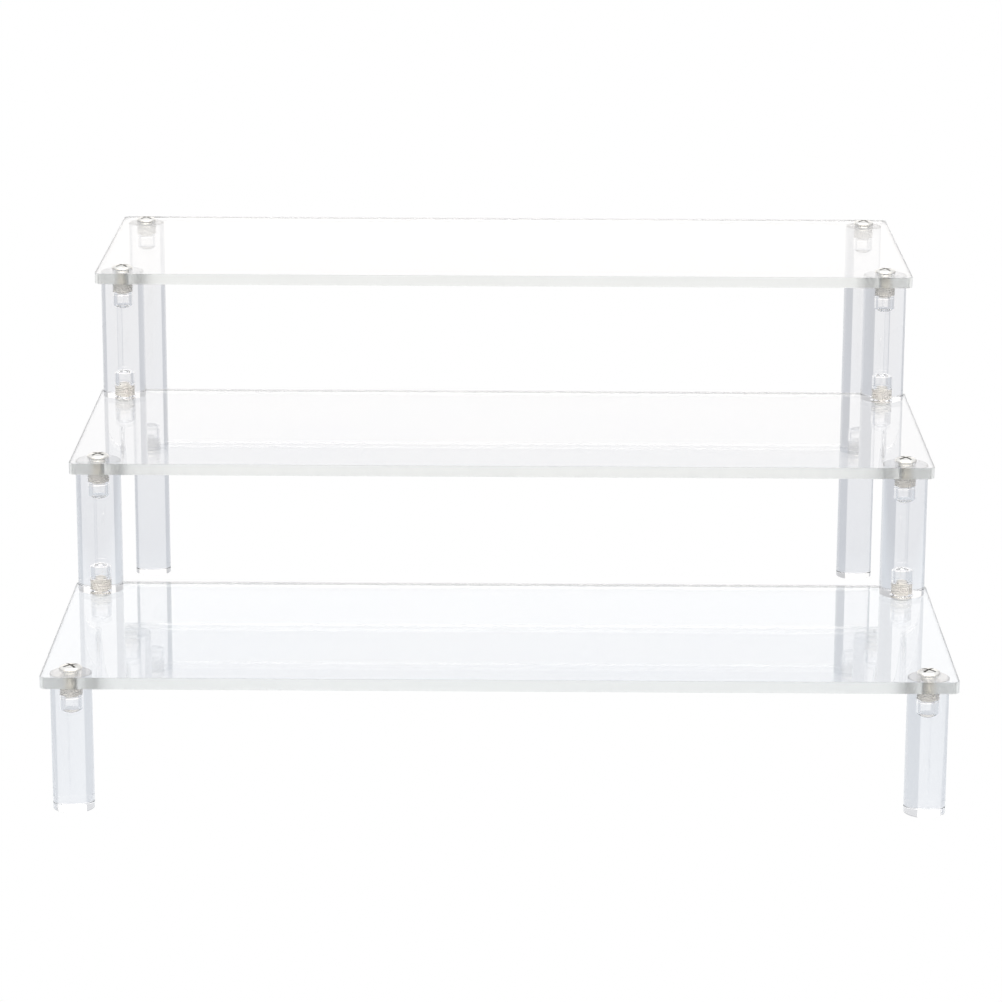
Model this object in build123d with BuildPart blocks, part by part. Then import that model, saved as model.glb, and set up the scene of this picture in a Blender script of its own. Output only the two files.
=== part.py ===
from build123d import *
import os

# Three-tier stepped display riser: clear acrylic sheets stacked on solid rods with pan-head screws.
#
# +Z is up, -Y is the front (the lowest step) and X runs along the shelves. The origin is on the ground
# under the centre of the whole riser. All lengths are in millimetres.

# ---- driving dimensions ----
SHELF_WIDTH = 305.0  # one shelf, left to right
SHELF_THICKNESS = 4.0
SHELF_CORNER_RADIUS = 2.5
HOLE_MARGIN = 9.5  # hole centre to every edge of its shelf
STEP_RUN = 95.0  # front holes to rear holes of one shelf, and so from one step to the next
ROD_LENGTH = 44.5  # clear height under each step
RISER_DIAMETER = 16.0  # the rods that stand on a shelf
LEG_DIAMETER = 14.0  # the rods that stand on the ground
ROD_EDGE_BREAK = 0.3
TAPPED_HOLE_DIAMETER = 5.0  # M5 thread, drawn as its plain outer diameter
TAPPED_HOLE_DEPTH = 9.0
DRILL_POINT_HEIGHT = 1.5
CLEARANCE_HOLE_DIAMETER = 5.5
SHANK_DIAMETER = 4.9
SHANK_LENGTH = 9.0
SHANK_END_CHAMFER = 0.5
HEAD_DIAMETER = 8.6
HEAD_HEIGHT = 1.8
HEAD_RIM_HEIGHT = 0.5  # upright part of the head under its dome
RECESS_SPAN = 4.8  # Phillips cross, tip to tip
RECESS_SLOT = 1.1
RECESS_DEPTH = 1.3
RECESS_TAPER = 12.0  # degrees

# ---- derived places ----
TIERS = 3
SHELF_DEPTH = STEP_RUN + 2 * HOLE_MARGIN
HOLE_SPACING_X = SHELF_WIDTH - 2 * HOLE_MARGIN
STEP_RISE = ROD_LENGTH + SHELF_THICKNESS
TOTAL_DEPTH = TIERS * STEP_RUN + 2 * HOLE_MARGIN
SIDES = {"left": -HOLE_SPACING_X / 2, "right": HOLE_SPACING_X / 2}
SHELF_NAMES = ["lower_shelf", "middle_shelf", "upper_shelf"]

UP = 1
DOWN = -1


def row_y(row):
    """Y of one of the four rows of rods, row 0 at the front."""
    return -TOTAL_DEPTH / 2 + HOLE_MARGIN + row * STEP_RUN


def shelf_underside(tier):
    """Height of the underside of a shelf, tier 0 being the lowest."""
    return tier * STEP_RISE + ROD_LENGTH


def turned_profile_plane(mouth, direction):
    """Plane of a turned outline: local X is the radius, local Y runs from the mouth along the axis."""
    return Plane(origin=mouth, x_dir=(1, 0, 0), z_dir=(0, -direction, 0))


def finish_piece(piece, name):
    """Label one finished piece and write it as its own STEP file."""
    piece.label = name
    export_step(piece, f"parts/{name}.step")


def make_shelf(name, tier):
    """A flat sheet with rounded corners and a clearance hole in each corner."""
    underside = Plane(origin=(0, row_y(tier) + STEP_RUN / 2, shelf_underside(tier)))
    with BuildPart() as shelf:
        with BuildSketch(underside):
            RectangleRounded(SHELF_WIDTH, SHELF_DEPTH, SHELF_CORNER_RADIUS)
            with GridLocations(HOLE_SPACING_X, STEP_RUN, 2, 2):
                Circle(CLEARANCE_HOLE_DIAMETER / 2, mode=Mode.SUBTRACT)
        extrude(amount=SHELF_THICKNESS)
    finish_piece(shelf.part, name)


def make_rod(name, foot, length, diameter, tapped_at_foot):
    """A solid round rod with a blind tapped hole in its top, and in its foot if it stands on a shelf."""
    x, y, z = foot
    mouths = [((x, y, z + length), DOWN)]
    if tapped_at_foot:
        mouths.append((foot, UP))
    hole_radius = TAPPED_HOLE_DIAMETER / 2
    with BuildPart() as rod:
        with BuildSketch(Plane(origin=foot)):
            Circle(diameter / 2)
        extrude(amount=length)
        chamfer(rod.edges().filter_by(GeomType.CIRCLE), ROD_EDGE_BREAK)
        for mouth, direction in mouths:
            with BuildSketch(turned_profile_plane(mouth, direction)):
                with BuildLine():
                    Polyline(
                        (0, 0),
                        (hole_radius, 0),
                        (hole_radius, TAPPED_HOLE_DEPTH),
                        (0, TAPPED_HOLE_DEPTH + DRILL_POINT_HEIGHT),
                        close=True,
                    )
                make_face()
            revolve(axis=Axis(mouth, (0, 0, 1)), mode=Mode.SUBTRACT)
    finish_piece(rod.part, name)


def make_screw(name, seat, direction):
    """A pan-head screw with a cross recess, its head resting on seat and its shank along direction."""
    x, y, z = seat
    head_radius = HEAD_DIAMETER / 2
    shank_radius = SHANK_DIAMETER / 2
    head_top = Plane(origin=(x, y, z - direction * HEAD_HEIGHT), z_dir=(0, 0, -direction))
    with BuildPart() as screw:
        with BuildSketch(turned_profile_plane(seat, direction)):
            with BuildLine():
                TangentArc((0, -HEAD_HEIGHT), (head_radius, -HEAD_RIM_HEIGHT), tangent=(1, 0))
                Polyline(
                    (head_radius, -HEAD_RIM_HEIGHT),
                    (head_radius, 0),
                    (shank_radius, 0),
                    (shank_radius, SHANK_LENGTH - SHANK_END_CHAMFER),
                    (shank_radius - SHANK_END_CHAMFER, SHANK_LENGTH),
                    (0, SHANK_LENGTH),
                    (0, -HEAD_HEIGHT),
                )
            make_face()
        revolve(axis=Axis(seat, (0, 0, 1)))
        with BuildSketch(head_top):
            Rectangle(RECESS_SPAN, RECESS_SLOT)
            Rectangle(RECESS_SLOT, RECESS_SPAN)
        extrude(amount=-RECESS_DEPTH, taper=RECESS_TAPER, mode=Mode.SUBTRACT)
    finish_piece(screw.part, name)


os.makedirs("parts", exist_ok=True)

for tier, shelf_name in enumerate(SHELF_NAMES):
    make_shelf(shelf_name, tier)

for side, x in SIDES.items():
    # Legs: a short one under the front of the lower shelf, a long one under the rear of the upper shelf.
    make_rod(f"front_leg_{side}", (x, row_y(0), 0), shelf_underside(0), LEG_DIAMETER, False)
    make_rod(f"rear_leg_{side}", (x, row_y(TIERS), 0), shelf_underside(TIERS - 1), LEG_DIAMETER, False)
    # Risers: each stands on the rear of one shelf and carries the front of the next.
    for tier, riser_name in enumerate(["lower_riser", "upper_riser"]):
        top_of_shelf = shelf_underside(tier) + SHELF_THICKNESS
        make_rod(f"{riser_name}_{side}", (x, row_y(tier + 1), top_of_shelf), ROD_LENGTH, RISER_DIAMETER, True)
    # Screws driven down through a shelf into the rod below it.
    for shelf_name, tier, end, row in [
        ("lower", 0, "front", 0),
        ("middle", 1, "front", 1),
        ("upper", 2, "front", 2),
        ("upper", 2, "rear", 3),
    ]:
        seat = (x, row_y(row), shelf_underside(tier) + SHELF_THICKNESS)
        make_screw(f"screw_{shelf_name}_{end}_{side}", seat, DOWN)
    # Screws driven up through the rear of a shelf into the riser above it.
    for shelf_name, tier in [("lower", 0), ("middle", 1)]:
        seat = (x, row_y(tier + 1), shelf_underside(tier))
        make_screw(f"screw_{shelf_name}_rear_{side}", seat, UP)
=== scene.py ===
"""Looks of the three-tier clear acrylic display riser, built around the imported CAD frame.

Every shelf, rod and screw is rebuilt as a detailed mesh in the place that its CAD node gives: sheets with
eased edges, rods with threaded blind holes and drill points, screws with a real thread and a cross recess.
"""

import math

import bmesh
import bpy
from mathutils import Matrix, Quaternion, Vector


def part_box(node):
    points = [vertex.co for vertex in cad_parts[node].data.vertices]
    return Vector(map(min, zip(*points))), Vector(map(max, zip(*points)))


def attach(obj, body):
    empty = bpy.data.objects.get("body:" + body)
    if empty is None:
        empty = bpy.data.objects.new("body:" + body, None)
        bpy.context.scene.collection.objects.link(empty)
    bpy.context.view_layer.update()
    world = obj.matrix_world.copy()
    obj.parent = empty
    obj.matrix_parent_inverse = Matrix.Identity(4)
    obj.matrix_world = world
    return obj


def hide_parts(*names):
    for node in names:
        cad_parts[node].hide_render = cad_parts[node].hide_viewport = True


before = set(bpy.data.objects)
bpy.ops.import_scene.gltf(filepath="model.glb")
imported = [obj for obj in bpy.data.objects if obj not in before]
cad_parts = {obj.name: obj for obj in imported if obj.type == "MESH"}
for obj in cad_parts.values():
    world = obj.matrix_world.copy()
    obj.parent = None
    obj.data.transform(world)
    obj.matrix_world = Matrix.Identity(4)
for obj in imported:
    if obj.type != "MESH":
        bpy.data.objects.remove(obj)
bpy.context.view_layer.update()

MM = 0.001
TURN = 2 * math.pi

# ---- sheets and rods: sizes that the CAD nodes don't carry, in millimetres ----
SHEET_EDGE_EASE = 0.07
SHEET_CORNER_RADIUS = 2.5
SHEET_HOLE_RADIUS = 2.5  # the wall of a clearance hole, as it shows pressed against the shank
HOLE_MARGIN = 9.5
ROD_EDGE_EASE = 0.22
HOLD = 0.2  # distance of the extra ring that keeps a flat or straight face flat beside an eased edge
FACE_GAP = 0.03  # air between a rod's end, or a screw's head, and the sheet it bears on

# ---- threads and tapped holes, in millimetres ----
THREAD_PITCH = 0.8
THREAD_DEPTH = 0.22
THREAD_PHASES = [0.0, 0.16, 0.4, 0.76]  # turns at the profile's corners: root, rise, worn crest, fall
THREAD_LEAD_IN = 0.7  # turns over which a tapped thread deepens at the mouth
TAPPED_LENGTH = 4.9  # the thread fades out past this, and the rest of the hole is plain
BORE_RADIUS = 2.5  # to the roots of the tapped thread
BORE_DEPTH = 9.0
BORE_POINT = 1.5
BORE_MOUTH_CHAMFER = 0.35
DRILL_POINT = [(0.93, 0.2), (0.78, 0.48), (0.55, 0.75), (0.28, 0.93)]  # worn point: (radius, drop) shares

# ---- screws, in millimetres ----
SCREW_RADIUS = 2.52  # to the crests of the screw's thread
SCREW_LENGTH = 9.0
NECK_LENGTH = 0.3
NECK_FADE = 0.6
NECK_CUT = 0.2  # how far the plain neck lies inside the crests
TIP_FADE = 0.7
TIP_CUT = 0.75
HEAD_RADIUS = 3.85
HEAD_HEIGHT = 1.5
HEAD_FOOT_EASE = 0.12
HEAD_RIM = 0.4
HEAD_RIM_EASE = 0.1
HEAD_DOME = 0.4
HEAD_SHOULDER_POWER = 6  # higher is a squarer shoulder
HEAD_SHARES = (0.995, 0.98, 0.955, 0.92, 0.87, 0.8, 0.7, 0.58, 0.45, 0.3, 0.15)  # the crown's rings
RECESS_MOUTH = (3.2, 0.49)  # reach and half slot of the cutter's arms, RECESS_CUT_ABOVE over the head
RECESS_FLOOR = (2.3, 0.3)  # the same at RECESS_DEPTH
RECESS_DEPTH = 1.15
RECESS_CUT_ABOVE = 0.5
RECESS_CORE = 1.3  # corners between the arms, as a share of the half slot
RECESS_POINT = 0.35
SEAT_MARGIN = 0.01  # tolerances that tell the screw's zones apart
RECESS_MARGIN = 0.05
CROWN_MARGIN = 0.12

# ---- mesh fineness ----
ROUND_STEPS = 96
BORE_STEPS = 48
CORNER_STEPS = 8
EASE_STEPS = 3
SHARP_ANGLE = math.radians(50)
SCREW_SHARP_ANGLE = math.radians(32)
MERGE_DISTANCE = 1e-7  # metres

# ---- face marks of the acrylic ----
POLISHED = 0
TOOLED = 1

# ---- face zones of a screw ----
THREAD_ZONE, HEAD_ZONE, RECESS_ZONE = range(3)

# ---- the riser's layout ----
SHELVES = ("lower_shelf", "middle_shelf", "upper_shelf")
SIDES = ("left", "right")
DRIVEN_DOWN = ("lower_front", "middle_front", "upper_front", "upper_rear")
DRIVEN_UP = ("lower_rear", "middle_rear")
SCREW_TURNS = {  # degrees
    "lower_front_left": 36, "lower_front_right": -40, "middle_front_left": 50, "middle_front_right": -52,
    "upper_front_left": 42, "upper_front_right": 33, "upper_rear_left": 47, "upper_rear_right": 38,
    "lower_rear_left": 17, "lower_rear_right": 52, "middle_rear_left": 66, "middle_rear_right": 3,
}
ROD_SCREWS = {  # the screw in each rod's top, and in its foot
    "front_leg": ("lower_front", None),
    "lower_riser": ("middle_front", "lower_rear"),
    "upper_riser": ("upper_front", "middle_rear"),
    "rear_leg": ("upper_rear", None),
}
LEGS = ("front_leg_left", "front_leg_right", "rear_leg_left", "rear_leg_right")


# ---------------------------------------------------------------- mesh helpers
def clean_mesh(name, maker):
    """A mesh from a builder: doubles merged, normals outwards, corners over SHARP_ANGLE kept sharp."""
    shape = bmesh.new()
    maker(shape)
    bmesh.ops.remove_doubles(shape, verts=shape.verts, dist=MERGE_DISTANCE)
    bmesh.ops.dissolve_degenerate(shape, edges=shape.edges, dist=MERGE_DISTANCE)
    bmesh.ops.recalc_face_normals(shape, faces=shape.faces)
    for edge in shape.edges:
        edge.smooth = len(edge.link_faces) == 2 and edge.calc_face_angle() < SHARP_ANGLE
    mesh = bpy.data.meshes.new(name)
    shape.to_mesh(mesh)
    shape.free()
    return mesh


def placed(name, data):
    """An object in the scene that shows a mesh, a light or a camera."""
    item = bpy.data.objects.new(name, data)
    bpy.context.scene.collection.objects.link(item)
    return item


def stands_for(piece, slot, *nodes):
    """Let a piece ride the riser's one body in the place of its CAD nodes."""
    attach(piece, "root")
    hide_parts(*nodes)


def new_acrylic(name, maker, material, slot, node):
    """Make one acrylic piece with a mesh builder, give it its material and let it stand for its CAD node.

    The faces that a saw, drill or tap has left are marked in the mesh, so that one material can treat them
    apart. It is one material because light that enters the acrylic by one face leaves it by another.
    """
    mesh = clean_mesh(name, maker)
    marks = [face.material_index for face in mesh.polygons]
    mesh.attributes.new("tooled", "FLOAT", "FACE").data.foreach_set("value", marks)
    mesh.polygons.foreach_set("material_index", [0] * len(marks))
    mesh.materials.append(material)
    stands_for(placed(name, mesh), slot, node)


def add_ring(shape, points):
    """One closed ring of vertices."""
    return [shape.verts.new(point) for point in points]


def bridge(shape, lower, upper, mark=POLISHED):
    """Quads between two rings of the same count."""
    count = len(lower)
    for i in range(count):
        corners = (lower[i], lower[(i + 1) % count], upper[(i + 1) % count], upper[i])
        face = shape.faces.new(corners)
        face.material_index = mark
        face.smooth = True


def fan(shape, ring, tip, mark=POLISHED):
    """Triangles from a ring to one point."""
    centre = shape.verts.new(tip)
    count = len(ring)
    for i in range(count):
        face = shape.faces.new((ring[i], ring[(i + 1) % count], centre))
        face.material_index = mark
        face.smooth = True


def flat_cap(shape, rings):
    """Flat polished faces that fill the first ring and leave the others open."""
    edges = [edge for ring in rings for edge in ring_edges(ring)]
    filled = bmesh.ops.triangle_fill(shape, use_beauty=True, edges=edges)
    for item in filled["geom"]:
        if isinstance(item, bmesh.types.BMFace):
            item.smooth = False
            item.material_index = POLISHED


def ring_edges(ring):
    """The edges that run round a ring."""
    found = []
    for i, vertex in enumerate(ring):
        following = ring[(i + 1) % len(ring)]
        found.append(next(e for e in vertex.link_edges if e.other_vert(vertex) is following))
    return found


def circle_points(centre, radius, z, steps):
    """Points round a level circle."""
    x, y = centre
    return [
        (x + radius * math.cos(TURN * i / steps), y + radius * math.sin(TURN * i / steps), z)
        for i in range(steps)
    ]


def ease_levels(radius, bottom, top):
    """(inset, z) pairs up a side face with a quarter round at its foot and its top."""
    angles = [math.pi / 2 * i / EASE_STEPS for i in range(EASE_STEPS + 1)]
    profile = [(0.0, radius + HOLD * MM)]
    profile += [(radius * (1 - math.cos(a)), radius * (1 - math.sin(a))) for a in angles]
    rising = [(inset, bottom + drop) for inset, drop in reversed(profile)]
    return rising + [(inset, top - drop) for inset, drop in profile]


# ---------------------------------------------------------------- shelves
def rounded_outline(half_x, half_y, centre_y, radius, z):
    """Points of a rectangle with round corners, with a point beside each end of each corner's arc."""
    hold = HOLD * MM
    points = []
    for quarter, (sx, sy) in enumerate([(1, 1), (-1, 1), (-1, -1), (1, -1)]):
        centre = Vector((sx * (half_x - radius), centre_y + sy * (half_y - radius)))
        start = math.pi / 2 * quarter
        end = start + math.pi / 2
        before = centre + radius * Vector((math.cos(start), math.sin(start)))
        before -= hold * Vector((-math.sin(start), math.cos(start)))
        points.append((*before, z))
        for i in range(CORNER_STEPS + 1):
            angle = start + math.pi / 2 * i / CORNER_STEPS
            point = centre + radius * Vector((math.cos(angle), math.sin(angle)))
            points.append((*point, z))
        after = centre + radius * Vector((math.cos(end), math.sin(end)))
        after += hold * Vector((-math.sin(end), math.cos(end)))
        points.append((*after, z))
    return points


def shelf_maker(low, high):
    """Builder of one sheet: eased outline, four eased clearance holes."""
    half_x = (high.x - low.x) / 2
    half_y = (high.y - low.y) / 2
    centre_y = (high.y + low.y) / 2
    corner = SHEET_CORNER_RADIUS * MM
    hole_radius = SHEET_HOLE_RADIUS * MM
    hole_x = half_x - HOLE_MARGIN * MM
    hole_y = half_y - HOLE_MARGIN * MM
    levels = ease_levels(SHEET_EDGE_EASE * MM, low.z, high.z)

    def outline(inset, z):
        return rounded_outline(half_x - inset, half_y - inset, centre_y, corner - inset, z)

    def make(shape):
        stacks = [[add_ring(shape, outline(inset, z)) for inset, z in levels]]
        for x in (-hole_x, hole_x):
            for y in (centre_y - hole_y, centre_y + hole_y):
                circles = [circle_points((x, y), hole_radius + inset, z, BORE_STEPS) for inset, z in levels]
                stacks.append([add_ring(shape, circle) for circle in circles])
        for stack in stacks:
            for lower, upper in zip(stack, stack[1:]):
                bridge(shape, lower, upper, TOOLED)
        for end in (0, -1):
            flat_cap(shape, [stack[end] for stack in stacks])

    return make


# ---------------------------------------------------------------- threads
def thread_share(phase):
    """How far the thread stands out, 0 at the root and 1 at the crest, for a phase in turns."""
    phase = phase % 1.0
    root_end, crest_start, crest_end = THREAD_PHASES[1:]
    if phase < root_end:
        return 0.0
    if phase < crest_start:
        return (phase - root_end) / (crest_start - root_end)
    if phase < crest_end:
        return 1.0
    return (1 - phase) / (1 - crest_end)


def threaded_wall(centre, base_z, direction, length, radius_at, offset=0.0):
    """Rings of a right-hand threaded cylinder that follow the helix and end in level planes.

    radius_at(distance, share) gives the radius from the distance along the axis and the thread's share.
    offset turns the thread on by that many turns. The turns past both ends are pressed flat into the planes.
    """
    x, y = centre
    start = offset % 1.0
    turns = int(length / THREAD_PITCH) + 3
    rings = []
    for turn in range(-1, turns):
        for phase in THREAD_PHASES:
            ring = []
            for i in range(BORE_STEPS):
                around = i / BORE_STEPS
                along = (turn + phase - start + direction * around) * THREAD_PITCH
                along = min(max(along, 0.0), length)
                share = thread_share(along / THREAD_PITCH - direction * around + start)
                radius = radius_at(along, share) * MM
                angle = TURN * around
                spoke = (x + radius * math.cos(angle), y + radius * math.sin(angle))
                ring.append((*spoke, base_z + direction * along * MM))
            rings.append(ring)
    return rings


def smoothstep(value):
    """Smooth ramp from 0 to 1."""
    value = min(max(value, 0.0), 1.0)
    return value * value * (3 - 2 * value)


def bore_radius(along, share):
    """Radius of a tapped hole: the screw's thread turned inside out, a chamfered mouth and a plain end."""
    mouth = max(0.0, BORE_MOUTH_CHAMFER - along)
    lead_in = smoothstep(along / (THREAD_LEAD_IN * THREAD_PITCH))
    run_out = smoothstep((TAPPED_LENGTH - along) / THREAD_PITCH + 1)
    full = lead_in * run_out
    return BORE_RADIUS + mouth - THREAD_DEPTH * (1 - share) * full


def screw_radius(along, share):
    """Radius of a screw's thread: roots between the crests, a short neck at the head, a tapered tip."""
    neck = smoothstep((along - NECK_LENGTH) / NECK_FADE)
    tip = smoothstep((SCREW_LENGTH - along) / TIP_FADE)
    root = SCREW_RADIUS - THREAD_DEPTH * (1 - share)
    shank = root * neck + (SCREW_RADIUS - NECK_CUT) * (1 - neck)
    return shank * tip + (SCREW_RADIUS - TIP_CUT) * (1 - tip)


# ---------------------------------------------------------------- rods
def tapped_hole(shape, centre, mouth_z, direction, offset):
    """A tapped blind hole with a worn drill point. Returns the ring round its mouth."""
    walls = threaded_wall(centre, mouth_z, direction, BORE_DEPTH, bore_radius, offset)
    rings = [add_ring(shape, ring) for ring in walls]
    for share, drop in DRILL_POINT:
        level = mouth_z + direction * (BORE_DEPTH + BORE_POINT * drop) * MM
        rings.append(add_ring(shape, circle_points(centre, BORE_RADIUS * share * MM, level, BORE_STEPS)))
    for near, far in zip(rings, rings[1:]):
        bridge(shape, near, far, TOOLED)
    fan(shape, rings[-1], (*centre, mouth_z + direction * (BORE_DEPTH + BORE_POINT) * MM), TOOLED)
    return rings[0]


def rod_maker(low, high, top_offset, foot_offset):
    """Builder of one rod: eased ends, a tapped blind hole in the top and, for a riser, in the foot.

    Each offset is how many turns on the thread is at the hole's mouth, so that it meets its screw's. A rod
    with no hole in its foot has None.
    """
    centre = ((low.x + high.x) / 2, (low.y + high.y) / 2)
    radius = (high.x - low.x) / 2
    bottom = low.z + FACE_GAP * MM
    top = high.z - FACE_GAP * MM
    levels = ease_levels(ROD_EDGE_EASE * MM, bottom, top)

    def make(shape):
        circles = [circle_points(centre, radius - inset, z, ROUND_STEPS) for inset, z in levels]
        rings = [add_ring(shape, circle) for circle in circles]
        for lower, upper in zip(rings, rings[1:]):
            bridge(shape, lower, upper)
        flat_cap(shape, [rings[-1], tapped_hole(shape, centre, top, -1, top_offset)])
        if foot_offset is None:
            flat_cap(shape, [rings[0]])
        else:
            flat_cap(shape, [rings[0], tapped_hole(shape, centre, bottom, 1, foot_offset)])

    return make


# ---------------------------------------------------------------- screws
def crown_height(reach):
    """Height of the head's crown at a distance from the axis: low dome, rounded shoulder."""
    share = reach / HEAD_RADIUS
    shoulder = math.sqrt(max(0.0, 1 - share**HEAD_SHOULDER_POWER))
    return HEAD_RIM + (HEAD_HEIGHT - HEAD_RIM) * shoulder - HEAD_DOME * share**2 * shoulder


def head_outline():
    """(radius, height) pairs of the domed head, from its bearing face to the top."""
    foot = [(HEAD_RADIUS - HEAD_FOOT_EASE, 0.0), (HEAD_RADIUS, HEAD_FOOT_EASE)]
    rim = [(HEAD_RADIUS, HEAD_RIM - HEAD_RIM_EASE)]
    crown = [(HEAD_RADIUS * share, crown_height(HEAD_RADIUS * share)) for share in HEAD_SHARES]
    return foot + rim + crown


def screw_solid(shape):
    """A screw at the origin: bearing face at z = 0, head above, thread below."""
    crown = [
        add_ring(shape, circle_points((0, 0), radius * MM, height * MM, BORE_STEPS))
        for radius, height in head_outline()
    ]
    for lower, upper in zip(crown, crown[1:]):
        bridge(shape, lower, upper)
    fan(shape, crown[-1], (0, 0, HEAD_HEIGHT * MM))
    thread = threaded_wall((0, 0), 0, -1, SCREW_LENGTH, screw_radius)
    shank = [add_ring(shape, ring) for ring in thread]
    for near, far in zip(shank, shank[1:]):
        bridge(shape, near, far)
    fan(shape, shank[-1], (0, 0, -SCREW_LENGTH * MM))
    bridge(shape, crown[0], shank[0])


def cross_outline(reach, half, z):
    """Corners of a four-armed cross: arm ends at reach, arms twice half wide, small fillets between them."""
    core = half * RECESS_CORE
    corners = []
    for quarter in range(4):
        turned = Matrix.Rotation(TURN * quarter / 4, 2)
        for corner in [(reach, -half), (reach, half), (core, half), (half, core)]:
            x, y = turned @ Vector(corner)
            corners.append((x * MM, y * MM, z * MM))
    return corners


def recess_solid(shape):
    """The cutter of a cross recess: two crossed tapering blades round a pointed core."""
    top = HEAD_HEIGHT + RECESS_CUT_ABOVE
    floor = HEAD_HEIGHT - RECESS_DEPTH
    upper = add_ring(shape, cross_outline(*RECESS_MOUTH, top))
    lower = add_ring(shape, cross_outline(*RECESS_FLOOR, floor))
    bridge(shape, lower, upper)
    shape.faces.new(upper)
    fan(shape, lower, (0, 0, (floor - RECESS_POINT) * MM))


def screw_zone(point):
    """Which zone of the screw a point in millimetres lies on: thread, head or recess."""
    if point.z < -SEAT_MARGIN:
        return THREAD_ZONE
    reach = math.hypot(point.x, point.y)
    within_arms = reach < RECESS_MOUTH[0] + RECESS_MARGIN
    below_crown = RECESS_MARGIN < point.z < crown_height(reach) - CROWN_MARGIN
    return RECESS_ZONE if within_arms and below_crown else HEAD_ZONE


def screw_template():
    """The finished screw mesh at the origin, its recess cut by a boolean and its faces in zones."""
    body = placed("screw_body", clean_mesh("screw_body", screw_solid))
    cutter = placed("recess_cutter", clean_mesh("recess_cutter", recess_solid))
    cut = body.modifiers.new("recess", "BOOLEAN")
    cut.operation = "DIFFERENCE"
    cut.solver = "EXACT"
    cut.object = cutter
    depsgraph = bpy.context.evaluated_depsgraph_get()
    mesh = bpy.data.meshes.new_from_object(body.evaluated_get(depsgraph))
    for item in (body, cutter):
        bpy.data.objects.remove(item)
    for face in mesh.polygons:
        face.material_index = screw_zone(face.center / MM)
    return mesh


def place_screw(node, template, metals, seat, direction, turn):
    """One screw with its head bearing at seat and its shank along direction, turned about its axis."""
    mesh = template.copy()
    mesh.name = f"{node}_nickel"
    flip = Matrix.Identity(4) if direction < 0 else Matrix.Rotation(math.pi, 4, "X")
    lift = Vector((0, 0, -direction * FACE_GAP * MM))
    mesh.transform(Matrix.Translation(seat + lift) @ flip @ Matrix.Rotation(turn, 4, "Z"))
    zones = [face.material_index for face in mesh.polygons]
    mesh.materials.clear()
    for metal in metals:
        mesh.materials.append(metal)
    mesh.polygons.foreach_set("material_index", zones)
    mesh.shade_smooth()
    mesh.set_sharp_from_angle(angle=SCREW_SHARP_ANGLE)
    stands_for(placed(f"{node}_nickel", mesh), "nickel_screw", node)


# ---------------------------------------------------------------- materials
class Nodes:
    """Short way to write the node tree of a material or a world."""

    def __init__(self, owner, output="ShaderNodeOutputMaterial"):
        owner.use_nodes = True
        self.owner = owner
        self.tree = owner.node_tree
        self.tree.nodes.clear()
        self.output = self.add(output)

    def add(self, kind, **settings):
        """A new node with its properties set."""
        node = self.tree.nodes.new(kind)
        for key, value in settings.items():
            setattr(node, key, value)
        return node

    def link(self, source, target):
        """Join two sockets."""
        self.tree.links.new(source, target)

    def noise(self, scale, detail=4.0, roughness=0.55, stretch=(1, 1, 1), distortion=0.0):
        """Object-space noise, stretched per axis. Returns its factor socket."""
        coordinates = self.add("ShaderNodeTexCoord")
        mapping = self.add("ShaderNodeMapping")
        mapping.inputs["Scale"].default_value = stretch
        self.link(coordinates.outputs["Object"], mapping.inputs["Vector"])
        texture = self.add("ShaderNodeTexNoise")
        texture.inputs["Scale"].default_value = scale
        texture.inputs["Detail"].default_value = detail
        texture.inputs["Roughness"].default_value = roughness
        texture.inputs["Distortion"].default_value = distortion
        self.link(mapping.outputs["Vector"], texture.inputs["Vector"])
        return texture.outputs["Fac"]

    def place(self, system):
        """X, Y and Z sockets of a coordinate system."""
        split = self.add("ShaderNodeSeparateXYZ")
        self.link(self.add("ShaderNodeTexCoord").outputs[system], split.inputs["Vector"])
        return split.outputs

    def ramp(self, factor, low, high, start=0.3, end=0.7):
        """Map a factor between start and end to a range of values."""
        node = self.add("ShaderNodeMapRange")
        node.inputs["From Min"].default_value = start
        node.inputs["From Max"].default_value = end
        node.inputs["To Min"].default_value = low
        node.inputs["To Max"].default_value = high
        self.link(factor, node.inputs["Value"])
        return node.outputs["Result"]

    def colours(self, factor, stops):
        """Colour ramp over a factor, from (position, rgb) stops."""
        node = self.add("ShaderNodeValToRGB")
        ramp = node.color_ramp
        while len(ramp.elements) < len(stops):
            ramp.elements.new(0.5)
        for element, (position, colour) in zip(ramp.elements, stops):
            element.position = position
            element.color = (*colour, 1)
        self.link(factor, node.inputs["Fac"])
        return node.outputs["Color"]

    def mix_value(self, factor, first, second):
        """Blend of two values."""
        node = self.add("ShaderNodeMix", data_type="FLOAT")
        for index, source in ((0, factor), (2, first), (3, second)):
            self.link(source, node.inputs[index])
        return node.outputs[0]

    def mix_colour(self, factor, first, second):
        """Blend of two colours."""
        node = self.add("ShaderNodeMix", data_type="RGBA")
        for index, source in ((0, factor), (6, first), (7, second)):
            self.link(source, node.inputs[index])
        return node.outputs[2]

    def bump(self, height, strength, distance):
        """Bump from a height socket, its distance in metres."""
        node = self.add("ShaderNodeBump")
        node.inputs["Strength"].default_value = strength
        node.inputs["Distance"].default_value = distance
        self.link(height, node.inputs["Height"])
        return node.outputs["Normal"]

    def white_to_camera(self, kind, lit):
        """Plain white where the camera looks straight at it, and the lit shader in every other ray."""
        white = self.add(kind)
        white.inputs["Color"].default_value = (1, 1, 1, 1)
        rays = self.add("ShaderNodeLightPath")
        mix = self.add("ShaderNodeMixShader")
        self.link(rays.outputs["Is Camera Ray"], mix.inputs["Fac"])
        self.link(lit, mix.inputs[1])
        self.link(white.outputs[0], mix.inputs[2])
        self.link(mix.outputs["Shader"], self.output.inputs["Surface"])


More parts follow.
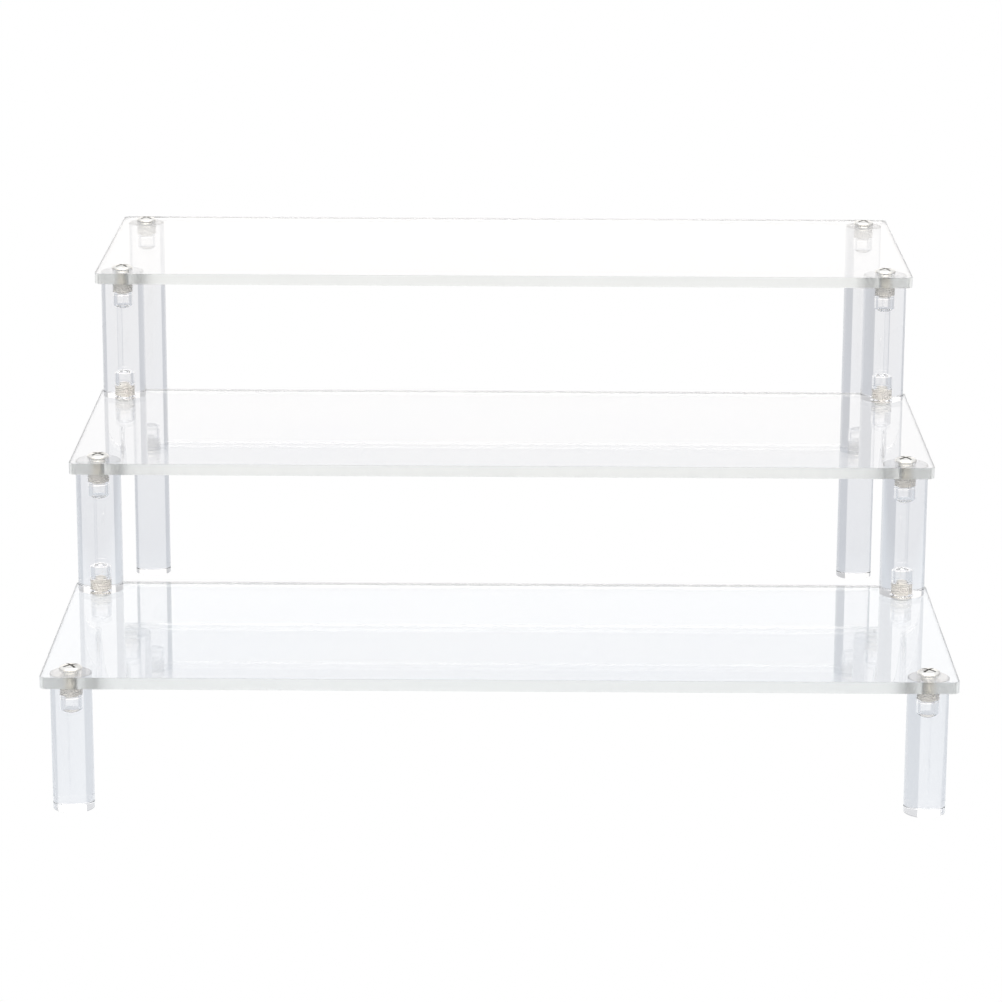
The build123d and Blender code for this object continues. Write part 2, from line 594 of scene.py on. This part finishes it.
ACRYLIC_IOR = 1.49
ACRYLIC_CLOUD = {"scale": 14.0, "detail": 3.0}  # faint drift of the tint
ACRYLIC_CLOUD_RANGE = (0.3, 0.75)
ACRYLIC_MARKS = {"scale": 260.0, "detail": 6.0, "roughness": 0.7, "distortion": 0.6}  # handling, tools
ACRYLIC_MARKS_RANGE = (0.45, 0.8)
ACRYLIC_WAVES = {"scale": 30.0, "detail": 2.0}  # slow waviness of a face
ACRYLIC_BUMP = 0.0002


def face_look(tint, darker_tint, roughness, waviness, stretch):
    """The looks of one kind of acrylic face, in the form that acrylic() reads."""
    return {"tints": (tint, darker_tint), "roughness": roughness, "waviness": waviness, "stretch": stretch}


def acrylic(name, polished, tooled, absorb, density):
    """Clear acrylic: faint marks in the gloss, a slight waviness, and a tint that deepens with length.

    polished and tooled are the looks of its faces, the second for those that a saw, drill or tap has left.
    """
    nodes = Nodes(bpy.data.materials.new(name))
    shader = nodes.add("ShaderNodeBsdfPrincipled")
    shader.inputs["Transmission Weight"].default_value = 1.0
    shader.inputs["IOR"].default_value = ACRYLIC_IOR
    mark = nodes.add("ShaderNodeAttribute", attribute_name="tooled").outputs["Fac"]
    looks = []
    for look in (polished, tooled):
        cloud = nodes.noise(**ACRYLIC_CLOUD, stretch=look["stretch"])
        marks = nodes.noise(**ACRYLIC_MARKS, stretch=look["stretch"])
        waves = nodes.noise(**ACRYLIC_WAVES, stretch=look["stretch"])
        looks.append((
            nodes.colours(cloud, list(zip(ACRYLIC_CLOUD_RANGE, look["tints"]))),
            nodes.ramp(marks, *look["roughness"], *ACRYLIC_MARKS_RANGE),
            nodes.ramp(waves, 0.0, look["waviness"], start=0.0, end=1.0),
        ))
    (clear, gloss, swell), (cut, matt, chatter) = looks
    nodes.link(nodes.mix_colour(mark, clear, cut), shader.inputs["Base Color"])
    nodes.link(nodes.mix_value(mark, gloss, matt), shader.inputs["Roughness"])
    height = nodes.mix_value(mark, swell, chatter)
    nodes.link(nodes.bump(height, 1.0, ACRYLIC_BUMP), shader.inputs["Normal"])
    nodes.link(shader.outputs["BSDF"], nodes.output.inputs["Surface"])
    volume = nodes.add("ShaderNodeVolumeAbsorption")
    volume.inputs["Color"].default_value = (*absorb, 1)
    volume.inputs["Density"].default_value = density
    nodes.link(volume.outputs["Volume"], nodes.output.inputs["Volume"])
    return nodes.owner


NICKEL_PATCHES = {"scale": 420.0, "detail": 5.0, "roughness": 0.6}
NICKEL_PATCH_STOPS = (0.3, 0.55, 0.8)
NICKEL_GRAIN = {"scale": 2600.0, "detail": 3.0, "roughness": 0.6}
NICKEL_GRAIN_STRENGTH = 0.2
NICKEL_BUMP = 0.00003


def nickel(name, colours, roughness, metal=1.0):
    """Nickel plate, duller and darker in patches, with a fine grain.

    colours run from the dull patches to the bright ones. A low metal share makes it a pale, diffuse paint,
    which the thread uses to paint in light.
    """
    nodes = Nodes(bpy.data.materials.new(name))
    shader = nodes.add("ShaderNodeBsdfPrincipled")
    shader.inputs["Metallic"].default_value = metal
    patches = nodes.noise(**NICKEL_PATCHES)
    grain = nodes.noise(**NICKEL_GRAIN)
    stops = list(zip(NICKEL_PATCH_STOPS, colours))
    nodes.link(nodes.colours(patches, stops), shader.inputs["Base Color"])
    nodes.link(nodes.ramp(grain, *roughness), shader.inputs["Roughness"])
    nodes.link(nodes.bump(grain, NICKEL_GRAIN_STRENGTH, NICKEL_BUMP), shader.inputs["Normal"])
    nodes.link(shader.outputs["BSDF"], nodes.output.inputs["Surface"])
    return nodes.owner


sheet_acrylic = acrylic(
    "acrylic_sheet",
    polished=face_look((1, 1, 1), (0.985, 0.99, 1.0), (0.0, 0.03), 0.008, stretch=(1, 1, 1)),
    tooled=face_look((1, 1, 0.975), (0.98, 0.98, 0.95), (0.28, 0.48), 0.06, stretch=(3, 3, 0.6)),
    absorb=(0.89, 0.91, 0.925),
    density=7.5,
)
rod_acrylic = acrylic(
    "acrylic_rod",
    polished=face_look((1, 1, 1), (0.985, 0.99, 1.0), (0.0, 0.03), 0.05, stretch=(3, 3, 0.5)),
    tooled=face_look((1, 0.995, 0.99), (0.985, 0.98, 0.975), (0.06, 0.16), 0.04, stretch=(2, 2, 2)),
    absorb=(0.87, 0.87, 0.88),
    density=26.0,
)
# Partly the nickel's own colour, partly painted light: the thread is lightened and made nearly diffuse so
# the shanks read pale inside the acrylic.
painted_light_thread_metal = nickel(
    "nickel_thread_painted_light",
    colours=[(0.90, 0.865, 0.81), (0.95, 0.92, 0.875), (0.99, 0.975, 0.94)],
    roughness=(0.3, 0.55),
    metal=0.05,
)
head_metal = nickel(
    "nickel_head",
    colours=[(0.80, 0.78, 0.74), (0.88, 0.865, 0.83), (0.94, 0.93, 0.90)],
    roughness=(0.14, 0.32),
)
# Painted shade: the cross recess is coloured dark grey to stand for the shade that falls inside it.
painted_shade_recess_metal = nickel(
    "nickel_recess_painted_shade",
    colours=[(0.24, 0.235, 0.225), (0.34, 0.335, 0.32), (0.46, 0.45, 0.43)],
    roughness=(0.35, 0.6),
)

# ---------------------------------------------------------------- the riser
for shelf in SHELVES:
    low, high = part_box(shelf)
    new_acrylic(f"{shelf}_sheet", shelf_maker(low, high), sheet_acrylic, "clear_sheet", shelf)

sheet_low, sheet_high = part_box(SHELVES[0])
sheet_thickness = round((sheet_high.z - sheet_low.z) / MM, 3)  # millimetres


def thread_offset(place, side):
    """How many turns on a screw's thread is where it enters its rod."""
    if place is None:
        return None
    return (sheet_thickness + 2 * FACE_GAP) / THREAD_PITCH - SCREW_TURNS[f"{place}_{side}"] / 360


for side in SIDES:
    for kind, (top_screw, foot_screw) in ROD_SCREWS.items():
        node = f"{kind}_{side}"
        low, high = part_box(node)
        maker = rod_maker(low, high, thread_offset(top_screw, side), thread_offset(foot_screw, side))
        new_acrylic(f"{node}_rod", maker, rod_acrylic, "clear_rod", node)

metals = [painted_light_thread_metal, head_metal, painted_shade_recess_metal]  # in the order of the zones
template = screw_template()
for place in DRIVEN_DOWN + DRIVEN_UP:
    for side in SIDES:
        node = f"screw_{place}_{side}"
        low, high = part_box(node)
        down = place in DRIVEN_DOWN
        seat_z = low.z + SCREW_LENGTH * MM if down else high.z - SCREW_LENGTH * MM
        seat = Vector(((low.x + high.x) / 2, (low.y + high.y) / 2, seat_z))
        turn = math.radians(SCREW_TURNS[f"{place}_{side}"])
        place_screw(node, template, metals, seat, -1 if down else 1, turn)
bpy.data.meshes.remove(template)

# ---------------------------------------------------------------- camera, placed in metres
CAMERA_AIM = Vector((-0.0004, 0.0, 0.0689))
CAMERA_DISTANCE = 1.4017
CAMERA_ELEVATION = math.radians(15.10)
CAMERA_AZIMUTH = math.radians(0.275)
CAMERA_ROLL = math.radians(0.237)
CAMERA_LENS = 136.85
CAMERA_SENSOR = 36.0

away = Vector((
    math.sin(CAMERA_AZIMUTH) * math.cos(CAMERA_ELEVATION),
    -math.cos(CAMERA_AZIMUTH) * math.cos(CAMERA_ELEVATION),
    math.sin(CAMERA_ELEVATION),
))
camera_data = bpy.data.cameras.new("camera")
camera_data.lens = CAMERA_LENS
camera_data.sensor_width = CAMERA_SENSOR
camera = placed("camera", camera_data)
camera.location = CAMERA_AIM + CAMERA_DISTANCE * away
camera.rotation_mode = "QUATERNION"
camera.rotation_quaternion = (-away).to_track_quat("-Z", "Y") @ Quaternion((0, 0, 1), CAMERA_ROLL)
bpy.context.scene.camera = camera

# ---------------------------------------------------------------- table, placed in metres
TABLE_HALF_WIDTH = 2.0
TABLE_FRONT = -1.2
TABLE_BACK = 1.3
TABLE_COLOUR = (0.08, 0.08, 0.08)
TABLE_ROUGHNESS = 0.06
TABLE_IOR = 1.5
TABLE_COAT_ROUGHNESS = 0.05
# Painted light: the table glows, brighter in front and darker towards the back, in place of the light that
# falls on it.
FILL_FROM = -0.5
FILL_TO = 0.7
TABLE_PAINTED_GLOW = [  # (share of the way from FILL_FROM to FILL_TO, painted glow)
    (0.0, (0.70, 0.71, 0.72)),
    (0.28, (0.52, 0.55, 0.59)),
    (0.50, (0.51, 0.55, 0.60)),
    (0.57, (0.385, 0.41, 0.455)),
    (0.78, (0.37, 0.39, 0.43)),
    (1.0, (0.31, 0.325, 0.355)),
]
# Painted light: the pale glow under each leg's foot, in colours that drift at random.
GLOW_STOPS = [(0.3, (0.81, 0.79, 0.755)), (0.7, (0.86, 0.84, 0.805))]
GLOW_CLOUD = {"scale": 60.0, "detail": 2.0}
GLOW_INSET = 0.5 * MM
GLOW_LIFT = 0.3 * FACE_GAP * MM


def stage_mesh(name, verts, faces, material):
    """A mesh that belongs to the stage, not to the riser."""
    mesh = bpy.data.meshes.new(name)
    mesh.from_pydata(verts, [], faces)
    mesh.materials.append(material)
    mesh.shade_smooth()
    placed(name, mesh)


def table_top():
    """Glossy table: white as seen directly; as seen through the acrylic, a cool pale grey with its gloss and
    a painted glow, brighter in front and darker towards the back, that stands in for the light on it.
    """
    nodes = Nodes(bpy.data.materials.new("table_top"))
    top = nodes.add("ShaderNodeBsdfPrincipled")
    top.inputs["Base Color"].default_value = (*TABLE_COLOUR, 1)
    top.inputs["Roughness"].default_value = TABLE_ROUGHNESS
    top.inputs["IOR"].default_value = TABLE_IOR
    top.inputs["Coat Weight"].default_value = 1.0
    top.inputs["Coat Roughness"].default_value = TABLE_COAT_ROUGHNESS
    depth = nodes.ramp(nodes.place("Object")["Y"], 0.0, 1.0, FILL_FROM, FILL_TO)
    nodes.link(nodes.colours(depth, TABLE_PAINTED_GLOW), top.inputs["Emission Color"])
    top.inputs["Emission Strength"].default_value = 1.0
    nodes.white_to_camera("ShaderNodeEmission", top.outputs["BSDF"])
    return nodes.owner


def foot_glow():
    """Painted light: the pale patch of table that light piped down a leg makes under its foot, as a glowing
    disc.
    """
    nodes = Nodes(bpy.data.materials.new("foot_glow"))
    glow = nodes.add("ShaderNodeEmission")
    nodes.link(nodes.colours(nodes.noise(**GLOW_CLOUD), GLOW_STOPS), glow.inputs["Color"])
    nodes.link(glow.outputs["Emission"], nodes.output.inputs["Surface"])
    return nodes.owner


table_corners = [
    (-TABLE_HALF_WIDTH, TABLE_FRONT, 0),
    (TABLE_HALF_WIDTH, TABLE_FRONT, 0),
    (TABLE_HALF_WIDTH, TABLE_BACK, 0),
    (-TABLE_HALF_WIDTH, TABLE_BACK, 0),
]
stage_mesh("table", table_corners, [(0, 1, 2, 3)], table_top())

glow = foot_glow()
for node in LEGS:
    low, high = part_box(node)
    middle = ((low.x + high.x) / 2, (low.y + high.y) / 2)
    rim = circle_points(middle, (high.x - low.x) / 2 - GLOW_INSET, GLOW_LIFT, BORE_STEPS)
    stage_mesh(f"{node}_glow", rim, [tuple(range(BORE_STEPS))], glow)

# ---------------------------------------------------------------- light, placed in metres
BACKDROP_Y = 0.9
BACKDROP_LEFT = -0.85
BACKDROP_RIGHT = 0.50
BACKDROP_HEIGHT = 0.45
ROOM_LOW = 0.30  # the room's shade changes between these heights of a direction of unit length
ROOM_HIGH = 0.38
ROOM_SHADES = [(0.0, (0.61, 0.61, 0.62)), (1.0, (0.95, 0.96, 0.98))]
FRONT_FROM = -0.15  # and turns into the brighter front between these depths of it
FRONT_TO = -0.5
FRONT_SHADES = [(0.0, (0.90, 0.89, 0.87)), (1.0, (1.9, 1.85, 1.78))]


def soft_box(name, location, target, size, radiance, colour):
    """A rectangular soft light aimed at a point. Radiance is how bright its face looks."""
    width, height = size
    data = bpy.data.lights.new(name, "AREA")
    data.shape = "RECTANGLE"
    data.size = width
    data.size_y = height
    data.energy = radiance * width * height * math.pi
    data.color = colour
    light = placed(name, data)
    light.location = location
    light.rotation_mode = "QUATERNION"
    light.rotation_quaternion = (Vector(target) - Vector(location)).to_track_quat("-Z", "Y")
    light.visible_camera = False


def studio_world():
    """The room: white as seen directly. In the acrylic it is pale grey low down, lighter above and ahead."""
    nodes = Nodes(bpy.data.worlds.new("studio"), "ShaderNodeOutputWorld")
    room = nodes.add("ShaderNodeBackground")
    heading = nodes.place("Generated")
    height = nodes.ramp(heading["Z"], 0.0, 1.0, ROOM_LOW, ROOM_HIGH)
    front = nodes.ramp(heading["Y"], 0.0, 1.0, FRONT_FROM, FRONT_TO)
    around = nodes.colours(height, ROOM_SHADES)
    ahead = nodes.colours(height, FRONT_SHADES)
    nodes.link(nodes.mix_colour(front, around, ahead), room.inputs["Color"])
    nodes.white_to_camera("ShaderNodeBackground", room.outputs["Background"])
    return nodes.owner


backdrop_middle = (BACKDROP_LEFT + BACKDROP_RIGHT) / 2
soft_box(
    "backdrop",
    location=(backdrop_middle, BACKDROP_Y, BACKDROP_HEIGHT / 2),
    target=(backdrop_middle, 0, BACKDROP_HEIGHT / 2),
    size=(BACKDROP_RIGHT - BACKDROP_LEFT, BACKDROP_HEIGHT),
    radiance=0.525,
    colour=(1.0, 0.96, 0.90),
)
soft_box(
    "front",
    location=(0, -1.5, 1.1),
    target=(0, 0, 0),
    size=(1.8, 0.8),
    radiance=2.5,
    colour=(1.0, 0.95, 0.88),
)
soft_box(
    "overhead",
    location=(0, -0.1, 1.5),
    target=(0, 0, 0),
    size=(1.6, 1.2),
    radiance=0.95,
    colour=(0.98, 0.99, 1.0),
)

scene = bpy.context.scene
scene.world = studio_world()
scene.view_settings.view_transform = "Standard"
scene.view_settings.look = "None"
scene.cycles.max_bounces = 32
scene.cycles.transmission_bounces = 32
scene.cycles.glossy_bounces = 16
scene.cycles.diffuse_bounces = 4
scene.cycles.transparent_max_bounces = 16
